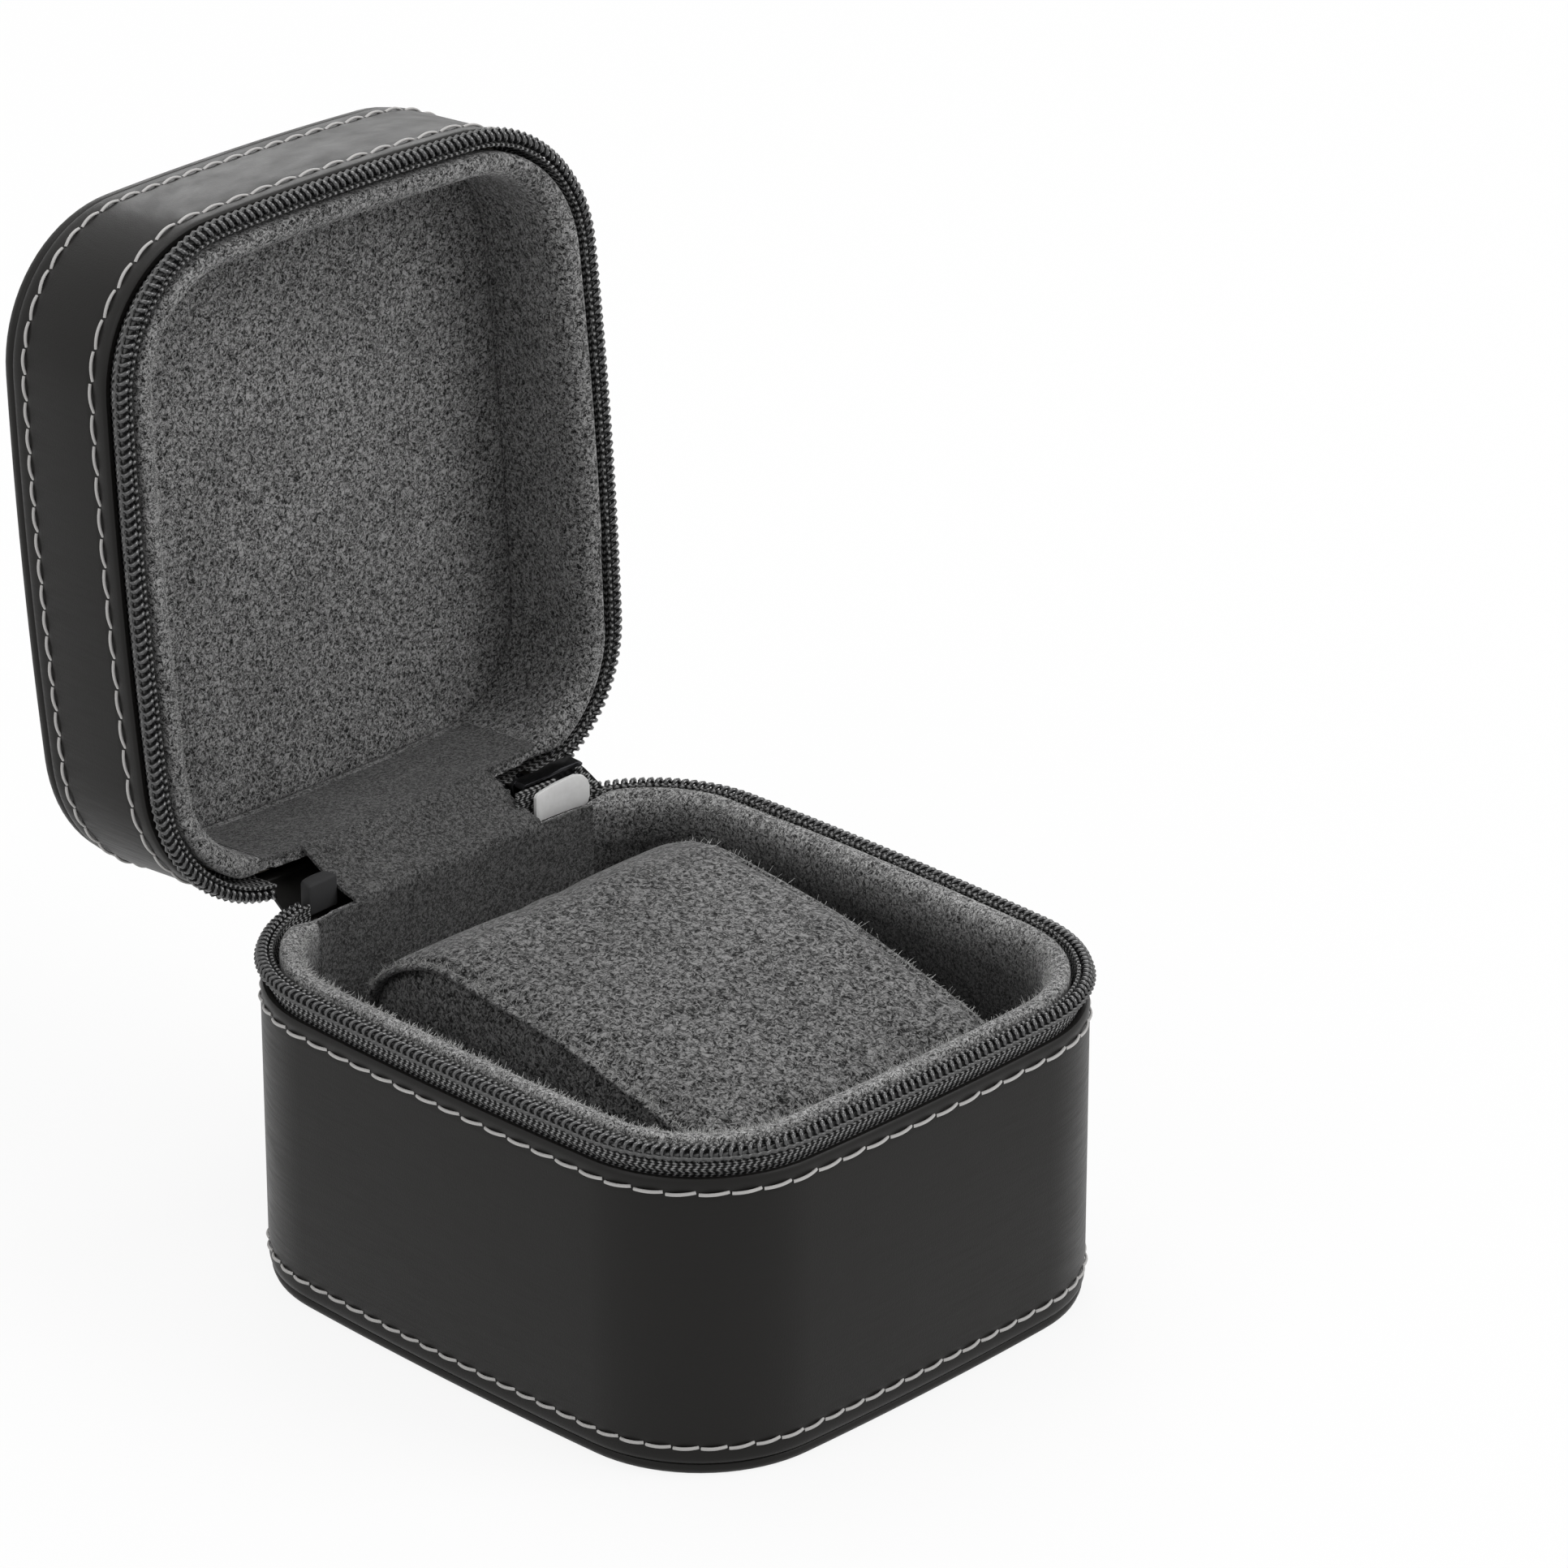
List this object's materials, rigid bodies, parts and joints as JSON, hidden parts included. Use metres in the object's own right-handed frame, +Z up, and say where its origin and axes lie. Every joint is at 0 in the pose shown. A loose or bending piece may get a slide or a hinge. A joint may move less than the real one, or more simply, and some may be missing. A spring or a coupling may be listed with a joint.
{
  "type": "watch travel case",
  "caption": "Zip-round travel case for one wristwatch: deep leather base, hinged padded lid, suede lining and a loose pillow.",
  "frame": {"origin": "centre of the underside, on the surface that the case stands on", "axes": "+X along the lid's hinge, to the right seen from the front; +Y toward the hinge; +Z up"},
  "size_m": [0.0962, 0.1467, 0.1567],
  "materials": {
    "leather": "smooth satin black leather",
    "board": "pressed fibre board, hidden inside the walls",
    "suede": "charcoal grey microsuede with a short nap",
    "foam": "open foam, hidden inside the lid and the pillow",
    "zip_tape": "woven black tape",
    "zip_coil": "black nylon coil",
    "zip_metal": "plated die-cast metal, dark outside and bright inside",
    "pull_metal": "gloss black plated metal"
  },
  "bodies": {
    "base": {"base_bottom_panel": "leather", "base_side_cover": "leather", "base_wall_board": "board", "base_floor_board": "board", "base_lining_wall": "suede", "base_lining_floor": "suede", "base_zipper_tape": "zip_tape", "base_zipper_coil": "zip_coil", "zipper_tail": "zip_coil", "zipper_left_end": "zip_tape", "hinge_outer_strip": "leather", "hinge_inner_strip": "suede"},
    "lid": {"lid_side_cover": "leather", "lid_top_panel": "leather", "lid_top_padding": "foam", "lid_top_board": "board", "lid_wall_board": "board", "lid_lining_wall": "suede", "lid_lining_top": "suede", "lid_zipper_tape": "zip_tape", "lid_zipper_coil": "zip_coil"},
    "slider": {"slider_body": "zip_metal"},
    "pull_link": {"pull_link": "pull_metal"},
    "pull_tab": {"pull_tab": "pull_metal"},
    "pillow": {"pillow_core": "foam", "pillow_cover": "suede", "pillow_end_left": "suede", "pillow_end_right": "suede"}
  },
  "joints": [
    {"name": "lid_hinge", "type": "hinge", "parent": "base", "child": "lid", "pos_m": [0, 0.05375, 0.0502], "axis": [-1, 0, 0], "range_deg": [-94.6, 0], "deforming": ["hinge_outer_strip", "hinge_inner_strip"]},
    {"name": "zip_slide", "type": "hinge", "parent": "base", "child": "slider", "pos_m": [0.02391, 0.02926, 0.0528], "axis": [0, 0, 1], "range_deg": [-84, 0]},
    {"name": "link_swing", "type": "hinge", "parent": "slider", "child": "pull_link", "pos_m": [0.02504, 0.05694, 0.0528], "axis": [0.9992, -0.0407, 0], "range_deg": [0, 20]},
    {"name": "tab_swing", "type": "hinge", "parent": "pull_link", "child": "pull_tab", "pos_m": [0.02504, 0.05694, 0.0435], "axis": [0.0407, 0.9992, 0], "range_deg": [-60, 60]},
    {"name": "pillow_lift", "type": "slide", "parent": "base", "child": "pillow", "axis": [0, 0, 1], "range_m": [0, 0.06]}
  ]
}
